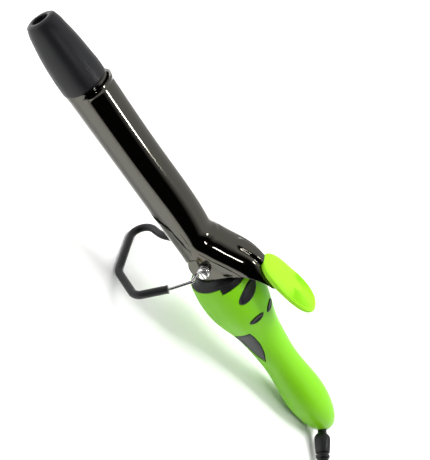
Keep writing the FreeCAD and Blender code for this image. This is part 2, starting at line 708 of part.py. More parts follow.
feature("mains_cord_lead", cord_tube(LEAD_POINTS), None)
feature("mains_cord_tail", cord_tube(TAIL_POINTS), None)

# The stored length: seven turns in three layers, kept as one closed ring of the coil's outer shape.
COIL_HALF = dim("coil_half")
COIL_MIDDLE = dim("coil_mean_radius")
COIL_HEIGHT = 6 * CORD_R
ring_at = COIL + V(0, 0, COIL_LOW)
ring = Part.makeCylinder(COIL_MIDDLE + COIL_HALF, COIL_HEIGHT, ring_at)
ring = ring.cut(Part.makeCylinder(COIL_MIDDLE - COIL_HALF, COIL_HEIGHT, ring_at))
ring = ring.makeFillet(CORD_R - 0.1, [edge for edge in ring.Edges if edge.isClosed()])
feature("mains_cord_coil", ring, None)

TIE_THICK = 0.6
TIE_WIDTH = 9.0
TIE_GAP = 0.5
tie_out = COIL_HALF + TIE_GAP + TIE_THICK
tie_in = COIL_HALF + TIE_GAP
tie = block(-tie_out, tie_out, -TIE_WIDTH / 2, TIE_WIDTH / 2, 0.05, COIL_LOW + COIL_HEIGHT + 0.7)
tie = tie.cut(block(-tie_in, tie_in, -20, 20, 0.05 + TIE_THICK, COIL_LOW + COIL_HEIGHT + 0.1))
tie.translate(COIL - V(COIL_MIDDLE, 0, 0))
feature("cord_tie", tie, None)

# Two-pin plug, lying flat beside the coil.
PLUG_LENGTH = 27.0
PLUG_WIDTH = 23.0
PLUG_HEIGHT = 16.0
plug_at = TAIL_POINTS[-1]
plug_frame = FreeCAD.Placement(
    V(plug_at.x, plug_at.y, PLUG_HEIGHT / 2 + 0.2), FreeCAD.Rotation(V(0, 0, 1), 180)
)
RELIEF_OF_PLUG = 20.0
plug = block(
    RELIEF_OF_PLUG, RELIEF_OF_PLUG + PLUG_LENGTH, -PLUG_WIDTH / 2, PLUG_WIDTH / 2,
    -PLUG_HEIGHT / 2, PLUG_HEIGHT / 2,
)
plug_middle = RELIEF_OF_PLUG + PLUG_LENGTH / 2
long_edges = [edge for edge in plug.Edges if abs(edge.CenterOfMass.x - plug_middle) < 1.0]
plug = plug.makeFillet(3.0, long_edges)
back_edges = [edge for edge in plug.Edges if edge.CenterOfMass.x < RELIEF_OF_PLUG + 0.5]
plug = plug.makeFillet(1.2, back_edges)
plug = plug.fuse(Part.makeCone(CORD_R + 0.5, 5.6, RELIEF_OF_PLUG + 1, V(0, 0, 0), V(1, 0, 0)))
plug.Placement = plug_frame
feature("plug_body", plug.removeSplitter(), None)

BLADE_LENGTH = 17.0
BLADE_SPACING = 12.7
BLADE_THICK = 1.5
BLADE_HALF_HEIGHT = 3.2
BLADE_HOLE_AT = 12.5
plug_face = RELIEF_OF_PLUG + PLUG_LENGTH
blades = []
for side in (-1, 1):
    near = side * BLADE_SPACING / 2 - BLADE_THICK / 2
    blade = block(
        plug_face, plug_face + BLADE_LENGTH, near, near + BLADE_THICK,
        -BLADE_HALF_HEIGHT, BLADE_HALF_HEIGHT,
    )
    blade = blade.cut(crosswise(1.6, near - 1, near + BLADE_THICK + 1, plug_face + BLADE_HOLE_AT, 0))
    blade.Placement = plug_frame
    blades.append(blade)
feature("plug_blades", Part.makeCompound(blades), None)

# ------------------------------------------------------------------------------ check and write
doc.recompute()
for obj in doc.Objects:
    if "Invalid" in obj.State or "Error" in obj.State:
        raise RuntimeError(f"{obj.Name} failed: {obj.State}")
for node, obj in sub_parts.items():
    if obj.Shape.isNull() or not obj.Shape.isValid():
        raise RuntimeError(f"{node} has no valid shape")
    box = obj.Shape.optimalBoundingBox(False)
    print(f"{node:18s} volume {obj.Shape.Volume:9.1f}  solids {len(obj.Shape.Solids)}"
          f"  x {box.XMin:7.2f} {box.XMax:7.2f}  y {box.YMin:7.2f} {box.YMax:7.2f}"
          f"  z {box.ZMin:6.2f} {box.ZMax:6.2f}")
for node, obj in sub_parts.items():
    obj.Shape.exportStep(f"parts/{node}.step")
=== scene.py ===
import json
import math

import bpy
import numpy as np
from mathutils import Matrix, Vector


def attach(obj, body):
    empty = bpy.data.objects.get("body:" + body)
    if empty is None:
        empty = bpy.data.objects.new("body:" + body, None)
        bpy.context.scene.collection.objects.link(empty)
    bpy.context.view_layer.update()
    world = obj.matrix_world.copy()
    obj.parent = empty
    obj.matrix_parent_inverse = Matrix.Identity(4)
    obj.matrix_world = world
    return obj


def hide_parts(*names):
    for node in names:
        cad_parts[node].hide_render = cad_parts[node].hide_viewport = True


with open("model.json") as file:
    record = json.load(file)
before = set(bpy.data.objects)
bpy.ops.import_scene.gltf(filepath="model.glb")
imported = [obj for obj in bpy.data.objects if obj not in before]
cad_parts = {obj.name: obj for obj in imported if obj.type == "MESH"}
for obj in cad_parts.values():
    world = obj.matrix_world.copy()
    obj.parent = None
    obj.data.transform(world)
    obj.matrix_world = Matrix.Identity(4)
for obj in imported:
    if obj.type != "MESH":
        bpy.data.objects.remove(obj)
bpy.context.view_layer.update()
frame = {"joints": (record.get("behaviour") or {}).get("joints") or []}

# Curling iron resting on its wire rest.  Lengths are millimetres in the iron's own frame (X from
# the cool tip to the handle's end, Z to the lever, -Y the side with the large power button) until
# place() puts them in the model's frame, in metres.

MM = 0.001
TAU = 2 * math.pi
JOINTS = {joint["name"]: joint for joint in frame["joints"]}

PIVOT_ALONG, PIVOT_HEIGHT = 173.5, 2.2
BALL_ALONG = 345.0
BARREL_RADIUS = 12.7
hinge_at = Vector(JOINTS["clamp_hinge"]["pos_m"])
ball_at = Vector(JOINTS["cord_turn"]["pos_m"])
reach = ball_at - hinge_at
TILT = math.atan2(-reach.z, reach.x) - math.atan2(PIVOT_HEIGHT, BALL_ALONG - PIVOT_ALONG)
IRON = (
    Matrix.Translation(ball_at) @ Matrix.Rotation(TILT, 4, "Y")
    @ Matrix.Translation(Vector((-BALL_ALONG * MM, 0, 0)))
)


def place(x, y, z):
    """A point of the iron's frame, in the model's frame."""
    return IRON @ Vector((x * MM, y * MM, z * MM))


# ------------------------------------------------------------------------------------------ camera
CAMERA_AT = Vector((-0.2412, -0.3779, 0.3591))
CAMERA_TO = Vector((0.03926, 0.09149, 0.0))
CAMERA_ROLL = math.radians(61.36)

camera_data = bpy.data.cameras.new("camera")
camera_data.lens = 70.43
camera_data.sensor_width = 36.0
camera_data.clip_start = 0.01
camera = bpy.data.objects.new("camera", camera_data)
bpy.context.collection.objects.link(camera)
look = (CAMERA_TO - CAMERA_AT).to_track_quat("-Z", "Y").to_matrix().to_4x4()
camera.matrix_world = Matrix.Translation(CAMERA_AT) @ look @ Matrix.Rotation(CAMERA_ROLL, 4, "Z")
bpy.context.scene.camera = camera
bpy.context.scene.view_settings.view_transform = "Standard"


# --------------------------------------------------------------------------------------- materials
def surface(name, colour, roughness, metallic=0.0, grain=0.0, grain_size=2500.0, mottle=0.06,
            wear=0.06, brushed=False, specular=0.5):
    """A material whose colour, gloss and relief vary over the surface as the real one's do.

    mottle is the share by which the colour varies, wear the amount by which the roughness does,
    grain the strength of the fine relief, and brushed stretches that relief along X.
    """
    material = bpy.data.materials.new(name)
    material.use_nodes = True
    nodes, links = material.node_tree.nodes, material.node_tree.links
    shader = nodes["Principled BSDF"]
    shader.inputs["Metallic"].default_value = metallic
    shader.inputs["Specular IOR Level"].default_value = specular

    where = nodes.new("ShaderNodeTexCoord")
    broad = nodes.new("ShaderNodeTexNoise")
    broad.inputs["Scale"].default_value = 45.0
    broad.inputs["Detail"].default_value = 4.0
    links.new(where.outputs["Object"], broad.inputs["Vector"])
    tone = nodes.new("ShaderNodeMix")
    tone.data_type = "RGBA"
    factor, darker, lighter, mixed = (
        tone.inputs[0], tone.inputs[6], tone.inputs[7], tone.outputs[2],
    )  # the colour sockets of a Mix node, which share their names with its other data types
    darker.default_value = [channel * (1 - mottle) for channel in colour] + [1.0]
    lighter.default_value = [min(channel * (1 + mottle), 1.0) for channel in colour] + [1.0]
    links.new(broad.outputs["Fac"], factor)
    links.new(mixed, shader.inputs["Base Color"])

    stretch = nodes.new("ShaderNodeMapping")
    stretch.inputs["Scale"].default_value = (0.04, 1.0, 1.0) if brushed else (1.0, 1.0, 1.0)
    links.new(where.outputs["Object"], stretch.inputs["Vector"])
    fine = nodes.new("ShaderNodeTexNoise")
    fine.inputs["Scale"].default_value = grain_size
    fine.inputs["Detail"].default_value = 3.0
    links.new(stretch.outputs["Vector"], fine.inputs["Vector"])
    gloss = nodes.new("ShaderNodeMapRange")
    gloss.inputs["To Min"].default_value = max(roughness - wear, 0.02)
    gloss.inputs["To Max"].default_value = roughness + wear
    links.new((fine if brushed else broad).outputs["Fac"], gloss.inputs["Value"])
    links.new(gloss.outputs["Result"], shader.inputs["Roughness"])
    if grain:
        relief = nodes.new("ShaderNodeBump")
        relief.inputs["Strength"].default_value = grain
        relief.inputs["Distance"].default_value = 0.0001
        links.new(fine.outputs["Fac"], relief.inputs["Height"])
        links.new(relief.outputs["Normal"], shader.inputs["Normal"])
    return material


MIRROR = surface("dark_chrome", (0.104, 0.1, 0.086), 0.07, 1.0, 0.02, 900.0, 0.05, 0.03)
MIRROR_BARREL = surface(
    "dark_chrome_barrel", (0.1, 0.097, 0.086), 0.09, 1.0, 0.03, 900.0, 0.06, 0.04,
)
CHROME = surface("bright_chrome", (0.66, 0.66, 0.65), 0.09, 1.0, 0.03, 1500.0, 0.04, 0.04)
ZINC = surface("zinc_plate", (0.36, 0.36, 0.35), 0.34, 1.0, 0.2, 2200.0, 0.1, 0.08)
DARK_STEEL = surface("dark_steel", (0.06, 0.06, 0.062), 0.4, 1.0, 0.2, 2200.0, 0.1, 0.1)
CHARCOAL = surface(
    "charcoal_plastic", (0.006, 0.006, 0.0075), 0.4, 0.0, 0.55, 3600.0, 0.12, 0.05, specular=0.3,
)
INSET = surface("inset_plastic", (0.026, 0.028, 0.03), 0.5, 0.0, 0.5, 3600.0, 0.1, 0.05)
LIME = surface(
    "lime_soft_touch", (0.175, 0.5, 0.008), 0.36, 0.0, 0.16, 4200.0, 0.05, 0.05, specular=0.25,
)
SILICONE = surface(
    "lime_silicone", (0.25, 0.6, 0.012), 0.45, 0.0, 0.25, 3200.0, 0.05, 0.05, specular=0.2,
)
BUTTON = surface(
    "button_black", (0.013, 0.013, 0.015), 0.33, 0.0, 0.2, 3800.0, 0.1, 0.05, specular=0.3,
)
RUBBER = surface(
    "sleeve_rubber", (0.004, 0.004, 0.005), 0.36, 0.0, 0.3, 3000.0, 0.15, 0.07, specular=0.35,
)
JACKET = surface("cord_jacket", (0.011, 0.011, 0.012), 0.4, 0.0, 0.35, 3300.0, 0.15, 0.06)
TIE = surface("tie_plastic", (0.02, 0.02, 0.021), 0.42, 0.0, 0.4, 2600.0, 0.15, 0.06)
BRASS = surface("blade_metal", (0.62, 0.52, 0.3), 0.26, 1.0, 0.25, 1400.0, 0.08, 0.09, True)
FIBRE = surface("barrier_fibre", (0.34, 0.27, 0.17), 0.75, 0.0, 0.8, 1400.0, 0.25, 0.08)
ALUMINIUM = surface("core_aluminium", (0.72, 0.72, 0.73), 0.36, 1.0, 0.35, 1300.0, 0.06, 0.09, True)
CERAMIC = surface("element_ceramic", (0.82, 0.8, 0.75), 0.5, 0.0, 0.3, 2600.0, 0.06, 0.08)
MICA = surface("mica_foil", (0.55, 0.46, 0.3), 0.42, 0.0, 0.5, 700.0, 0.2, 0.12)
LAMINATE = surface("board_laminate", (0.015, 0.14, 0.045), 0.35, 0.0, 0.3, 1800.0, 0.2, 0.06)
MOULDED = surface("component_black", (0.02, 0.02, 0.021), 0.5, 0.0, 0.5, 3000.0, 0.15, 0.06)
GLASS_SLEEVE = surface("lead_sleeving", (0.68, 0.68, 0.65), 0.7, 0.0, 0.9, 2400.0, 0.12, 0.05, True)

CAD_FINISH = {
    "tip_screw": DARK_STEEL, "clamp_spring": ZINC, "handle_screws": ZINC,
    "barrel_bush": FIBRE, "end_plug": FIBRE, "heater_core": ALUMINIUM,
    "heater_element": CERAMIC, "thermistor": CERAMIC, "thermal_fuse": CERAMIC,
    "mica_sleeve": MICA, "circuit_board": LAMINATE, "tact_switches": MOULDED,
    "power_module": MOULDED, "heater_leads": GLASS_SLEEVE, "hinge_bracket": CHROME,
    "pivot_screws": CHROME, "handle_upper": LIME, "handle_lower": LIME,
    "handle_collar": CHARCOAL, "cord_swivel": CHARCOAL, "plug_blades": BRASS,
}
EDGE_WIDTHS = {
    "pivot_screws": 0.2, "handle_upper": 0.25, "handle_lower": 0.25, "handle_collar": 0.35,
    "plug_blades": 0.3, "handle_screws": 0.15,
}
for node, finish in CAD_FINISH.items():
    obj = bpy.data.objects[node]
    obj.data.materials.clear()
    obj.data.materials.append(finish)


# ------------------------------------------------------------------------------------ mesh helpers
def finished(name, mesh, material, body, nodes=(), crease=35.0):
    """Link a mesh as a piece that rides on a body and stands for CAD nodes.

    Edges sharper than crease (degrees) stay sharp.
    """
    mesh.polygons.foreach_set("use_smooth", [True] * len(mesh.polygons))
    mesh.set_sharp_from_angle(angle=math.radians(crease))
    mesh.materials.append(material)
    piece = bpy.data.objects.new(name, mesh)
    bpy.context.collection.objects.link(piece)
    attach(piece, body)
    if nodes:
        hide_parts(*nodes)
    return piece


def skin(name, rows, wrap=True, closed=True):
    """A mesh over rows of points; wrap joins each row's ends and closed caps the first and last."""
    width = len(rows[0])
    points = [point for row in rows for point in row]
    faces = []
    for i in range(len(rows) - 1):
        for j in range(width if wrap else width - 1):
            k = (j + 1) % width
            faces.append((i * width + j, i * width + k, (i + 1) * width + k, (i + 1) * width + j))
    if closed and wrap:
        for start, turn in ((0, -1), ((len(rows) - 1) * width, 1)):
            faces.append(tuple(start + j for j in range(width))[::turn])
    mesh = bpy.data.meshes.new(name)
    mesh.from_pydata(points, [], faces)
    mesh.update()
    return mesh


def rounded(corners, radius, steps=5):
    """A flat outline with each inner corner rounded."""
    out = [corners[0]]
    for before, corner, after in zip(corners, corners[1:], corners[2:]):
        a, b, c = Vector(before), Vector(corner), Vector(after)
        first = b + (a - b).normalized() * min(radius, (a - b).length * 0.49)
        last = b + (c - b).normalized() * min(radius, (c - b).length * 0.49)
        for step in range(steps + 1):
            t = step / steps
            point = first * (1 - t) ** 2 + b * 2 * t * (1 - t) + last * t ** 2
            out.append(tuple(point))
    out.append(corners[-1])
    return out


def lathe(name, outline, matrix, around, shape=None):
    """Turn (along, radius) points about the X axis; shape may vary the radius round the turn."""
    rows = []
    for along, radius in outline:
        row = []
        for step in range(around):
            angle = TAU * step / around
            r = radius * (shape(along, angle) if shape else 1.0)
            local = Vector((along, r * math.sin(angle), r * math.cos(angle))) * MM
            row.append(matrix @ local)
        rows.append(row)
    return skin(name, rows)


def sweep(name, points, radii, around):
    """A round tube through points, with a radius at each, closed at both ends."""
    rows = []
    tangent = (points[1] - points[0]).normalized()
    side = tangent.orthogonal().normalized()
    for index, (point, radius) in enumerate(zip(points, radii)):
        before = points[max(index - 1, 0)]
        after = points[min(index + 1, len(points) - 1)]
        tangent = (after - before).normalized()
        side = (side - tangent * side.dot(tangent)).normalized()
        other = tangent.cross(side)
        rows.append([
            point + (side * math.cos(TAU * k / around) + other * math.sin(TAU * k / around)) * radius
            for k in range(around)
        ])
    return skin(name, rows)


def blend_in(value, low, high):
    """0 below low, 1 above high and a smooth step between."""
    t = min(max((value - low) / (high - low), 0.0), 1.0)
    return t * t * (3 - 2 * t)


def through(knots):
    """A smooth function through (station, value) pairs: a natural cubic spline."""
    xs = np.array([knot[0] for knot in knots], float)
    ys = np.array([knot[1] for knot in knots], float)
    gaps = np.diff(xs)
    count = len(xs)
    system = np.eye(count)
    rhs = np.zeros(count)
    for i in range(1, count - 1):
        system[i, i - 1:i + 2] = gaps[i - 1], 2 * (gaps[i - 1] + gaps[i]), gaps[i]
        rhs[i] = 6 * ((ys[i + 1] - ys[i]) / gaps[i] - (ys[i] - ys[i - 1]) / gaps[i - 1])
    bend = np.linalg.solve(system, rhs)

    def value(x):
        x = min(max(x, xs[0]), xs[-1])
        i = min(int(np.searchsorted(xs, x, "right")) - 1, count - 2)
        width = gaps[i]
        a, b = (xs[i + 1] - x) / width, (x - xs[i]) / width
        bow = ((a ** 3 - a) * bend[i] + (b ** 3 - b) * bend[i + 1]) * width ** 2 / 6
        return float(a * ys[i] + b * ys[i + 1] + bow)

    return value


def along_line(knots, x):
    """Straight-line value between (station, value) pairs."""
    return float(np.interp(x, [knot[0] for knot in knots], [knot[1] for knot in knots]))


def bevelled(piece, width, segments=3, angle=40.0):
    """Soften the edges sharper than an angle; width is in millimetres."""
    edge = piece.modifiers.new("soft_edges", "BEVEL")
    edge.width = width * MM
    edge.segments = segments
    edge.limit_method = "ANGLE"
    edge.angle_limit = math.radians(angle)
    edge.harden_normals = False


for node, width in EDGE_WIDTHS.items():
    bevelled(bpy.data.objects[node], width)

# ---------------------------------------------------------------------------------------- the cord
CORD_RADIUS = 3.1
RELIEF_END = 49.6
relief_axis = Vector(JOINTS["cord_turn"]["axis"]).normalized()
COIL = Vector((146.0, -94.2, 0.0))
LAYERS = (3.8, 10.0, 16.2)
COLUMNS = (37.2, 31.0, 24.8)
TURN_POINTS = 16


def along_relief(distance):
    """A point on the cord ball's axis, a distance from its centre."""
    return ball_at + relief_axis * distance * MM


def metres(x, y, z):
    """A point of the model's own frame, given in millimetres."""
    return Vector((x, y, z)) * MM


lead_points = [
    along_relief(RELIEF_END + 0.05), along_relief(RELIEF_END + 12.3), metres(185.4, -68.4, 4.0),
    metres(184.7, -81.6, 3.8), metres(183.2, -94.2, 3.8),
]
tail_points = [
    metres(146.0, -131.4, 16.2), metres(135.0, -131.9, 15.7), metres(125.0, -130.9, 14.0),
    metres(116.0, -127.0, 11.7), metres(107.5, -124.2, 9.7), metres(99.0, -122.9, 8.5),
]

# The coil winds clockwise: inwards in the lowest layer, outwards in the next, then once on top.
TURNS = 7.25
coil_route = [(radius, LAYERS[0]) for radius in COLUMNS]
coil_route += [(radius, LAYERS[1]) for radius in reversed(COLUMNS)]
coil_route.append((COLUMNS[0], LAYERS[2]))
coil_points = []
for step in range(1, int(TURNS * TURN_POINTS)):
    turn = step / TURN_POINTS
    stage = min(int(turn), len(coil_route) - 1)
    ahead = min(stage + 1, len(coil_route) - 1)
    share = blend_in(turn - stage, 0.72, 1.0)
    radius = coil_route[stage][0] * (1 - share) + coil_route[ahead][0] * share
    height = coil_route[stage][1] * (1 - share) + coil_route[ahead][1] * share
    angle = -TAU * turn
    coil_points.append(
        (COIL + Vector((radius * math.cos(angle), radius * math.sin(angle), height))) * MM
    )

cord_curve = bpy.data.curves.new("mains_cord", "CURVE")
cord_curve.dimensions = "3D"
cord_curve.bevel_depth = CORD_RADIUS * MM
cord_curve.bevel_resolution = 6
cord_curve.use_fill_caps = True
cord_curve.resolution_u = 8
spline = cord_curve.splines.new("NURBS")
route = lead_points + coil_points + tail_points
spline.points.add(len(route) - 1)
for knot, point in zip(spline.points, route):
    knot.co = (*point, 1.0)
spline.order_u = 3
spline.use_endpoint_u = True
cord_curve.materials.append(JACKET)
mains_cord = bpy.data.objects.new("mains_cord", cord_curve)
bpy.context.collection.objects.link(mains_cord)
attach(mains_cord, "body")
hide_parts("mains_cord_lead", "mains_cord_coil", "mains_cord_tail")

# The strain relief: a tapered sleeve, plain near the ball and ringed towards the cord.
relief_turn = Vector((1, 0, 0)).rotation_difference(relief_axis).to_matrix().to_4x4()
RELIEF = Matrix.Translation(ball_at) @ relief_turn
RING_FIRST, RING_STEP, RING_COUNT = 25.4, 3.6, 6
FLARE_END, ROOT_RADIUS, TAPER = 14.4, 5.6, 1.8
relief_outline = [(2.0, 1.0), (2.0, 3.2), (11.4, 3.2), (12.6, 4.6), (FLARE_END, ROOT_RADIUS),
                  (16.5, 5.7)]
for index in range(RING_COUNT):
    start = RING_FIRST + index * RING_STEP
    outer = ROOT_RADIUS - TAPER * (start - FLARE_END) / (RELIEF_END - FLARE_END)
    relief_outline += [
        (start, outer), (start + 0.35, outer - 0.95), (start + 1.25, outer - 0.95),
        (start + 1.6, outer - 0.08),
    ]
relief_outline += [(RELIEF_END - 0.4, 3.85), (RELIEF_END, 3.4), (RELIEF_END, 1.0)]
strain_relief = finished(
    "strain_relief_boot", lathe("strain_relief_boot", rounded(relief_outline, 0.35, 3), RELIEF, 64),
    RUBBER, "swivel", ("strain_relief",),
)

# The tie: a soft band with rounded edges round one side of the coil.
TIE_ACROSS, TIE_HEIGHT, TIE_CORNER = 9.95, 19.7, 2.6
TIE_MIDDLE = Vector((-COLUMNS[1], 0.0, 10.2))
tie_loop = []
for side_x, side_z, turn_start in ((1, 1, 0.0), (-1, 1, 0.25), (-1, -1, 0.5), (1, -1, 0.75)):
    for step in range(7):
        angle = TAU * (turn_start + 0.25 * step / 6)
        tie_loop.append((
            side_x * (TIE_ACROSS - TIE_CORNER) + TIE_CORNER * math.cos(angle),
            side_z * (TIE_HEIGHT / 2 - TIE_CORNER) + TIE_CORNER * math.sin(angle),
        ))
tie_rows = []
for across, lift in ((-4.5, -0.1), (-4.3, 0.22), (-3.6, 0.3), (0.0, 0.36), (3.6, 0.3), (4.3, 0.22),
                     (4.5, -0.1), (3.6, -0.22), (-3.6, -0.22), (-4.5, -0.1)):
    tie_rows.append([
        (COIL + TIE_MIDDLE + Vector((
            x * (1 + lift / TIE_ACROSS), across, z * (1 + lift / TIE_HEIGHT)
        ))) * MM
        for x, z in tie_loop
    ])
cord_tie_band = finished(
    "cord_tie_band", skin("cord_tie_band", tie_rows, closed=False), TIE, "body",
    ("cord_tie",),
)

# The plug: a moulded two-pin body with finger grooves, and its own tapered cord relief.
PLUG_AT = Matrix.Translation(metres(99.0, -122.9, 8.2)) @ Matrix.Rotation(math.pi, 4, "Z")


def plug_ring(along, half_width, half_height, power):
    """One section of the plug: round at power 2, nearly rectangular at higher ones."""
    ring = []
    for step in range(64):
        angle = TAU * step / 64
        c, s = math.cos(angle), math.sin(angle)
        ring.append(PLUG_AT @ (Vector((
            along,
            math.copysign(abs(c) ** (2 / power), c) * half_width,
            math.copysign(abs(s) ** (2 / power), s) * half_height,
        )) * MM))
    return ring


plug_rings = [plug_ring(0.0, 3.3, 3.3, 2.0), plug_ring(0.3, 3.8, 3.8, 2.0)]
for index in range(5):
    start = 3.0 + index * 3.2
    size = 3.9 + 0.105 * start
    plug_rings += [
        plug_ring(start, size, size, 2.0), plug_ring(start + 0.3, size - 0.7, size - 0.7, 2.0),
        plug_ring(start + 1.2, size - 0.7, size - 0.7, 2.0), plug_ring(start + 1.5, size, size, 2.0),
    ]
for along, half_width, half_height, power in (
    (19.3, 6.2, 6.0, 2.0), (20.0, 8.2, 6.8, 2.6), (20.8, 9.9, 7.3, 3.2), (22.5, 10.9, 7.7, 4.0),
    (25.0, 11.2, 7.8, 4.5), (26.0, 10.6, 7.8, 4.5), (28.0, 10.6, 7.8, 4.5), (29.0, 11.2, 7.8, 4.5),
    (30.0, 10.6, 7.8, 4.5), (32.0, 10.6, 7.8, 4.5), (33.0, 11.2, 7.8, 4.5), (34.0, 10.6, 7.8, 4.5),
    (36.0, 10.6, 7.8, 4.5), (37.0, 11.3, 7.9, 4.5), (45.6, 11.5, 8.0, 4.5), (46.6, 11.1, 7.6, 4.5),
    (47.0, 10.4, 7.0, 4.5),
):
    plug_rings.append(plug_ring(along, half_width, half_height, power))
plug_body = finished(
    "plug_moulding", skin("plug_moulding", plug_rings), JACKET, "body",
    ("plug_body",), 50.0,
)

# ---------------------------------------------------------------------------------------- cool tip
tip_form = through([
    (0.8, 8.2), (4.0, 9.4), (8.0, 10.3), (12.0, 11.0), (18.0, 11.9), (24.0, 12.5), (30.0, 12.9),
    (36.0, 13.1), (40.4, 13.1),
])


def tip_facets(along, angle):
    """Three very soft ridges that fade out towards the barrel."""
    fade = blend_in(along, 2.0, 8.0) * (1 - blend_in(along, 24.0, 36.0))
    ridge = abs(math.cos(1.5 * angle + 0.9)) ** 1.4
    return 1.0 - 0.03 * fade * (1 - ridge)


tip_outline = rounded([(7.8, 0.6), (7.8, 4.35), (0.15, 4.6), (-0.15, 6.4), (0.8, 8.2)], 0.5)[:-1]
tip_outline += [(0.8 + 0.8 * k, tip_form(0.8 + 0.8 * k)) for k in range(50)]
tip_outline += [(40.7, 12.95), (41.0, 12.6), (41.0, 11.5), (48.8, 11.4), (48.8, 1.7)]
finished(
    "cool_tip_shell", lathe("cool_tip_shell", tip_outline, IRON, 120, tip_facets), CHARCOAL,
    "body", ("cool_tip",), 50.0,
)

# ------------------------------------------------------------------------------ barrel and collar
barrel_outline = [(41.15, 11.6), (41.15, 12.35), (41.4, 12.6), (41.8, BARREL_RADIUS)]
barrel_outline += [(41.8 + 2.0 * k, BARREL_RADIUS) for k in range(1, 74)]
barrel_outline += [(189.8, BARREL_RADIUS), (190.0, 12.5), (190.0, 11.6), (41.15, 11.6)]
finished(
    "barrel_skin", lathe("barrel_skin", barrel_outline, IRON, 160), MIRROR_BARREL, "body",
    ("barrel_tube",),
)

# The collar's raised half ring, which fills the step between the handle's two shells.
RIM_FORM = rounded([
    (188.8, 16.4), (188.8, 18.45), (189.6, 18.9), (192.8, 19.55), (193.1, 18.0), (193.1, 16.4),
    (188.8, 16.4),
], 0.3)
RIM_HALF_ANGLE, RIM_STEPS = 74.0, 72
rim_rows = []
for step in range(RIM_STEPS + 1):
    angle = math.radians(-RIM_HALF_ANGLE + 2 * RIM_HALF_ANGLE * step / RIM_STEPS)
    rim_rows.append([
        place(x, radius * math.sin(angle), radius * math.cos(angle)) for x, radius in RIM_FORM
    ])
finished("collar_half_ring", skin("collar_half_ring", rim_rows), CHARCOAL, "body")

# ------------------------------------------------------------ clamp: spoon, lever and ears in one
SHELL = 1.0
lever_height = through([
    (43.2, 0.0), (100.0, 0.0), (150.0, 0.0), (155.0, 0.0), (158.0, 1.1), (161.0, 3.1),
    (166.0, 6.1), (175.0, 11.9), (184.0, 16.6), (195.0, 19.2), (207.0, 21.8), (210.0, 22.4),
])
lever_radius = through([
    (43.2, 14.3), (100.0, 14.3), (160.0, 14.3), (175.0, 14.2), (184.0, 13.8), (195.0, 12.7),
    (207.0, 12.0), (210.0, 11.8),
])
LEVER_EDGE = [
    (43.2, 2.3), (153.0, 2.3), (157.0, 2.0), (160.5, 0.6), (163.0, -2.0), (166.0, -4.9),
    (169.0, -6.4), (173.0, -6.9), (176.5, -6.5), (179.4, -4.6), (181.6, -1.2), (183.0, 3.0),
    (184.3, 8.6), (185.4, 12.7), (186.6, 17.3), (188.0, 19.9), (190.5, 22.4), (195.0, 25.6),
    (201.0, 28.4), (206.4, 30.1), (208.0, 30.8),
]
ARC_STEPS, DROP_STEPS = 34, 14


def lever_lift(along, across):
    """Raised forms pressed into the lever's top: an end lip, a fold and a long pressed rib."""
    lip = 0.55 * (1 - blend_in(along, 44.4, 46.2))
    fold = 0.6 * math.exp(-((along - 158.0) / 1.1) ** 2 - (across / 5.0) ** 2)
    inside = math.hypot(max(abs(along - 184.0) - 10.0, 0.0), across)
    rib = 1.0 * (1 - blend_in(inside, 3.2, 4.6))
    channel = -0.35 * (1 - blend_in(abs(inside - 5.6), 0.2, 1.1)) * blend_in(along, 170.0, 176.0)
    return lip + fold + rib + channel


def lever_section(along):
    """Points across the lever from the near edge over the crest to the far edge."""
    height, radius, edge = lever_height(along), lever_radius(along), along_line(LEVER_EDGE, along)
    end_angle = math.acos(max(min((edge - height) / radius, 1.0), 0.0))
    drop = max(height - edge, 0.0)
    flare = 0.5 * blend_in(drop, 2.0, 10.0)
    half = []
    for step in range(ARC_STEPS + 1):
        angle = end_angle * step / ARC_STEPS
        lifted = radius + lever_lift(along, radius * angle)
        half.append((lifted * math.sin(angle), height + lifted * math.cos(angle)))
    for step in range(1, DROP_STEPS + 1):
        share = step / DROP_STEPS
        half.append((
            radius * math.sin(end_angle) + flare * blend_in(share, 0.0, 0.5),
            height + radius * math.cos(end_angle) - drop * share if drop else half[-1][1] - 1e-3,
        ))
    near = [place(along, -y, z) for y, z in reversed(half)]
    return near + [place(along, y, z) for y, z in half[1:]]


# Sections are closest where the form changes: at the lip and along the lever.
stations = [43.2 + 0.4 * k for k in range(10)] + [47.2 + 2.0 * k for k in range(51)]
stations += [148.4 + 0.5 * k for k in range(120)]
clamp_piece = finished(
    "clamp_shell", skin("clamp_shell", [lever_section(s) for s in stations], wrap=False), MIRROR,
    "clamp", ("clamp_lever",), 60.0,
)
thick = clamp_piece.modifiers.new("plate", "SOLIDIFY")
thick.thickness = SHELL * MM
thick.offset = 1.0
bevelled(clamp_piece, 0.22, 2, 60.0)

# --------------------------------------------------------------------------------------- thumb pad
PAD_HALF_LONG, PAD_HALF_WIDE, PAD_POWER = 25.0, 12.0, 2.5
PAD_THICK = 2.5
PAD_ALONG, PAD_HEIGHT = 213.2, 37.6
PAD_SLOPE = math.radians(14.0)


def pad_point(share, angle, height):
    """A point of the pad: a share of the way out to its rim, and a height over its middle plane."""
    c, s = math.cos(angle), math.sin(angle)
    x = math.copysign(abs(c) ** (2 / PAD_POWER), c) * PAD_HALF_LONG * share
    y = math.copysign(abs(s) ** (2 / PAD_POWER), s) * PAD_HALF_WIDE * share
    return place(
        PAD_ALONG + x * math.cos(PAD_SLOPE) - height * math.sin(PAD_SLOPE), y,
        PAD_HEIGHT + x * math.sin(PAD_SLOPE) + height * math.cos(PAD_SLOPE),
    )


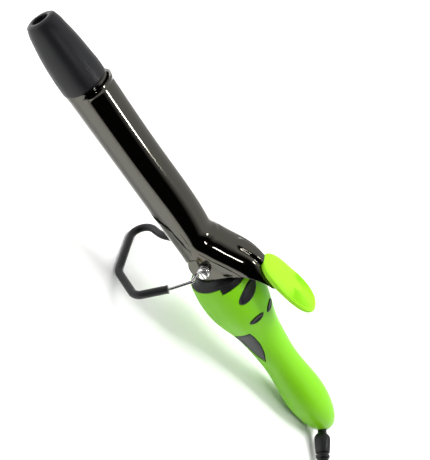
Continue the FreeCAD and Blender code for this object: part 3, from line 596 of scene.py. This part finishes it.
def pad_top(share, angle):
    """The pad's crown, with concentric grip ridges over its tail half."""
    c = math.cos(angle) * share
    crown = PAD_THICK + 0.6 - 2.4 * share ** 4.5 - 0.35 * math.exp(-((c - 0.1) / 0.35) ** 2)
    tail = blend_in(c, -0.08, 0.12) * blend_in(share, 0.3, 0.36) * (1 - blend_in(share, 0.9, 0.95))
    ridge = 0.5 - 0.5 * math.cos(TAU * (share - 0.3) * 12.0)
    return crown + 0.6 * tail * ridge ** 1.3


PAD_AROUND = 144
pad_rows = [[pad_point(0.004, TAU * k / PAD_AROUND, pad_top(0.0, 0.0)) for k in range(PAD_AROUND)]]
for step in range(1, 97):
    share = 0.98 * step / 96
    pad_rows.append([
        pad_point(share, TAU * k / PAD_AROUND, pad_top(share, TAU * k / PAD_AROUND))
        for k in range(PAD_AROUND)
    ])
for share, height in ((0.99, 0.6), (0.997, 0.2), (1.0, -0.3), (1.0, -1.0), (0.992, -1.7),
                      (0.97, -2.2), (0.93, -2.5), (0.5, -2.5), (0.01, -2.5)):
    pad_rows.append([pad_point(share, TAU * k / PAD_AROUND, height) for k in range(PAD_AROUND)])
finished("thumb_pad_cap", skin("thumb_pad_cap", pad_rows), SILICONE, "clamp",
         ("thumb_pad",), 60.0)

# --------------------------------------------------------------------------------- wire table rest
LEAN = math.radians(15.3)
EYE_MIDDLE = 17.6
EYE_LOOP, EYE_STEPS = 3.0, 28
WIRE_RADIUS = 1.1
STAND_REACH = 55.8
STAND_CORNERS = [
    (3.6, -EYE_MIDDLE), (5.6, -24.2), (18.0, -29.2), (39.5, -34.15), (STAND_REACH, -12.5),
    (STAND_REACH, 38.6), (31.0, 15.0), (3.0, EYE_MIDDLE),
]
STAND_RADII = [2.0, 5.0, 7.0, 12.0, 8.8, 20.0]


def stand_point(reach_down, across):
    """A point in the rest's own plane: reach from the hinge line, and across it."""
    return place(
        PIVOT_ALONG - reach_down * math.sin(LEAN), across,
        PIVOT_HEIGHT - reach_down * math.cos(LEAN),
    )


ARC_STEP, RUN_STEP = 0.07, 0.0012  # radians in an arc and metres along the path, per point


def bent_path(corners, radii):
    """Straight runs and true arcs, as points."""
    path = [corners[0]]
    for before, corner, after, radius in zip(corners, corners[1:], corners[2:], radii):
        a, b = (before - corner).normalized(), (after - corner).normalized()
        half_turn = (math.pi - a.angle(b)) / 2
        centre = corner + (a + b).normalized() * (radius * MM / math.cos(half_turn))
        first = (corner + a * (radius * MM * math.tan(half_turn)) - centre).normalized()
        last = (corner + b * (radius * MM * math.tan(half_turn)) - centre).normalized()
        steps = max(int(half_turn / ARC_STEP), 2)
        for step in range(steps + 1):
            path.append(centre + first.slerp(last, step / steps) * (radius * MM))
    path.append(corners[-1])
    even = []
    for start, end in zip(path, path[1:]):
        count = max(int((end - start).length / RUN_STEP), 1)
        even += [start.lerp(end, k / count) for k in range(count)]
    return even + [path[-1]]


rest_path = bent_path([stand_point(*corner) for corner in STAND_CORNERS], STAND_RADII)


def eye_loop(side):
    """The wire's end, wound once round the pivot screw and ending where the leg starts."""
    loop = []
    for step in range(EYE_STEPS + 1):
        angle = -LEAN - math.radians(330) * (1 - step / EYE_STEPS)
        loop.append(place(
            PIVOT_ALONG - EYE_LOOP * math.sin(-angle),
            side * (EYE_MIDDLE - 0.9 + 0.9 * step / EYE_STEPS),
            PIVOT_HEIGHT - EYE_LOOP * math.cos(angle),
        ))
    return loop


wire_path = eye_loop(-1) + rest_path[1:-1] + eye_loop(1)[::-1]
wire_mesh = sweep("stand_wire_bent", wire_path, [WIRE_RADIUS * MM] * len(wire_path), 20)
finished("stand_wire_bent", wire_mesh, CHROME, "stand", ("stand_wire",))

lengths = [0.0]
for start, end in zip(rest_path, rest_path[1:]):
    lengths.append(lengths[-1] + (end - start).length)
SLEEVE_FROM, SLEEVE_TO = 0.0207, lengths[-1] - 0.0145  # metres along the rest's path
SLEEVE_RADIUS = 2.55
sleeve_path, sleeve_radii = [], []
for point, length in zip(rest_path, lengths):
    if SLEEVE_FROM <= length <= SLEEVE_TO:
        end_gap = min(length - SLEEVE_FROM, SLEEVE_TO - length)
        lip = 0.18 * (1 - blend_in(end_gap, 0.0008, 0.0024))
        sleeve_path.append(point)
        sleeve_radii.append((SLEEVE_RADIUS + lip - 0.9 * (1 - blend_in(end_gap, -0.0004, 0.0009))) * MM)
sleeve_mesh = sweep("stand_sleeve_rubber", sleeve_path, sleeve_radii, 28)
finished("stand_sleeve_rubber", sleeve_mesh, RUBBER, "stand", ("stand_sleeve",),
         60.0)

# Spacer sleeves on the pivot screws, between the clamp's ears and the wire's eyes.
SPACER_FORM = rounded([
    (14.7, 1.6), (14.7, 3.4), (15.5, 3.4), (15.7, 2.1), (16.5, 2.1), (16.5, 1.6),
], 0.2)
for side, label in ((-1, "near"), (1, "far")):
    turn = Matrix.Translation(place(PIVOT_ALONG, 0, PIVOT_HEIGHT)) @ Matrix.Rotation(TILT, 4, "Y")
    turn = turn @ Matrix.Rotation(side * math.pi / 2, 4, "Z")
    finished("pivot_spacer_" + label, lathe("pivot_spacer_" + label, SPACER_FORM, turn, 48), CHROME,
             "body")

# --------------------------------------------------------------------------- buttons and grip insets
# The handle's outline, the same as that of its two shells.
handle_radius = through([
    (186, 18.4), (194, 20.2), (205, 21.2), (216, 20.8), (227, 18.6), (240, 15.4), (258, 13.3),
    (278, 12.3), (298, 13.6), (318, 14.7), (334, 13.0), (345, 10.1), (350.5, 7.4),
])
BUTTONS = [
    ("power", 201.5, 33.5, 19.0, 8.4, -17.0), ("lock", 201.5, -33.5, 19.0, 8.4, 17.0),
    ("cooler", 222.3, 49.0, 10.6, 4.7, 0.0), ("hotter", 223.8, 11.0, 9.0, 4.7, -19.0),
]
# Cap outline, from the middle out: share of the cap's half size, height over the handle.
CAP_FORM = [
    (0.01, 0.42), (0.2, 0.44), (0.4, 0.52), (0.55, 0.62), (0.68, 0.72), (0.78, 0.78), (0.86, 0.76),
    (0.92, 0.66), (0.96, 0.5), (0.985, 0.28), (1.0, -0.05), (1.0, -0.8), (1.0, -2.0), (1.0, -3.4),
]


def on_handle(x, y, z, normal_y, normal_z, lift):
    """Move a point along a normal until it lies a given lift above the handle."""
    wanted = handle_radius(x) + lift
    b = y * normal_y + z * normal_z
    c = y * y + z * z - wanted * wanted
    distance = -b + math.sqrt(max(b * b - c, 0.0))
    return place(x, y + normal_y * distance, z + normal_z * distance)


# Each button: name, place along the handle, angle round it, length, width and slant.
for name, along, angle, length, width, slant in BUTTONS:
    up_y, up_z = -math.sin(math.radians(angle)), math.cos(math.radians(angle))
    side_y, side_z = up_z, -up_y
    swing = math.radians(-90.0 - slant)
    base = handle_radius(along)
    rows = []
    for share, lift in CAP_FORM:
        row = []
        for step in range(72):
            turn = TAU * step / 72
            u, v = math.cos(turn) * length / 2 * share, math.sin(turn) * width / 2 * share
            dx = u * math.cos(swing) - v * math.sin(swing)
            dy = u * math.sin(swing) + v * math.cos(swing)
            row.append(on_handle(
                along + dx, up_y * base + side_y * dy, up_z * base + side_z * dy, up_y, up_z, lift
            ))
        rows.append(row)
    finished(name + "_cap", skin(name + "_cap", rows), BUTTON, name + "_key",
             (name + "_button",), 60.0)

INSET_OUTLINE = [
    (231.0, 3.6), (236.0, 3.9), (246.0, 3.4), (255.0, 1.6), (264.5, -2.4), (256.0, -6.4),
    (246.0, -8.8), (236.0, -10.4), (231.5, -7.0),
]
INSET_FORM = [
    (0.01, 0.1), (0.3, 0.08), (0.6, 0.02), (0.8, -0.06), (0.88, -0.16), (0.92, -0.34),
    (0.935, -0.6), (0.935, -1.1),
]
INSET_MIDDLE = Vector((245.0, -2.6))
rim = []
for start, end in zip(INSET_OUTLINE, INSET_OUTLINE[1:] + INSET_OUTLINE[:1]):
    rim += [Vector(start).lerp(Vector(end), k / 10) for k in range(10)]
for side, label in ((-1, "front"), (1, "back")):
    rows = []
    for share, lift in INSET_FORM:
        row = []
        for point in rim:
            x, z = INSET_MIDDLE + (point - INSET_MIDDLE) * share
            y = math.sqrt((handle_radius(x) + lift) ** 2 - z * z)
            row.append(place(x, side * y, z))
        rows.append(row)
    finished("inset_panel_" + label, skin("inset_panel_" + label, rows), INSET, "body",
             ("grip_inset_" + label,), 60.0)

# ---------------------------------------------------------------------------------- floor and light
floor_mesh = bpy.data.meshes.new("floor")
floor_mesh.from_pydata([(-3, -3, 0), (3, -3, 0), (3, 3, 0), (-3, 3, 0)], [], [(0, 1, 2, 3)])
floor_mesh.materials.append(surface("floor_paper", (0.94, 0.94, 0.94), 0.7, 0.0, 0.05, 400.0, 0.01))
floor = bpy.data.objects.new("floor", floor_mesh)
bpy.context.collection.objects.link(floor)


def softbox(name, at, towards, width, height, power, mirrored=False):
    """A rectangular light; only a mirrored one shows in the plated metal."""
    data = bpy.data.lights.new(name, "AREA")
    data.shape = "RECTANGLE"
    data.size, data.size_y, data.energy = width, height, power
    lamp = bpy.data.objects.new(name, data)
    aim = (Vector(towards) - Vector(at)).to_track_quat("-Z", "Y").to_matrix().to_4x4()
    lamp.matrix_world = Matrix.Translation(Vector(at)) @ aim
    lamp.visible_glossy = mirrored
    bpy.context.collection.objects.link(lamp)


softbox("key_overhead", (0.1, 0.35, 1.1), (0.0, 0.0, 0.03), 0.9, 0.7, 16.0)
softbox("fill_left", (-1.0, 0.1, 0.55), (0.0, 0.0, 0.05), 0.5, 0.9, 6.5)
softbox("fill_right", (0.95, -0.5, 0.8), (0.05, 0.0, 0.05), 0.5, 0.8, 6.5)
softbox("lever_strip", (0.06, -0.52, 0.76), (0.02, 0.0, 0.07), 0.2, 0.04, 1.0, True)
softbox("barrel_strip", (0.349, 0.013, 0.728), (-0.115, 0.0, 0.076), 0.05, 0.12, 1.0, True)

# The room: bright all round and below, dark overhead on the near side.
world = bpy.data.worlds.new("studio")
bpy.context.scene.world = world
world.use_nodes = True
nodes, links = world.node_tree.nodes, world.node_tree.links
direction = nodes.new("ShaderNodeTexCoord")
facing = nodes.new("ShaderNodeVectorMath")
facing.operation = "DOT_PRODUCT"
facing.inputs[1].default_value = (0.1, -0.86, 0.5)
links.new(direction.outputs["Generated"], facing.inputs[0])
ramp = nodes.new("ShaderNodeValToRGB")
ramp.color_ramp.elements[0].position = 0.38
ramp.color_ramp.elements[0].color = (0.95, 0.95, 0.93, 1.0)
ramp.color_ramp.elements[1].position = 0.7
ramp.color_ramp.elements[1].color = (0.012, 0.01, 0.01, 1.0)
links.new(facing.outputs["Value"], ramp.inputs["Fac"])
links.new(ramp.outputs["Color"], nodes["Background"].inputs["Color"])
nodes["Background"].inputs["Strength"].default_value = 0.82
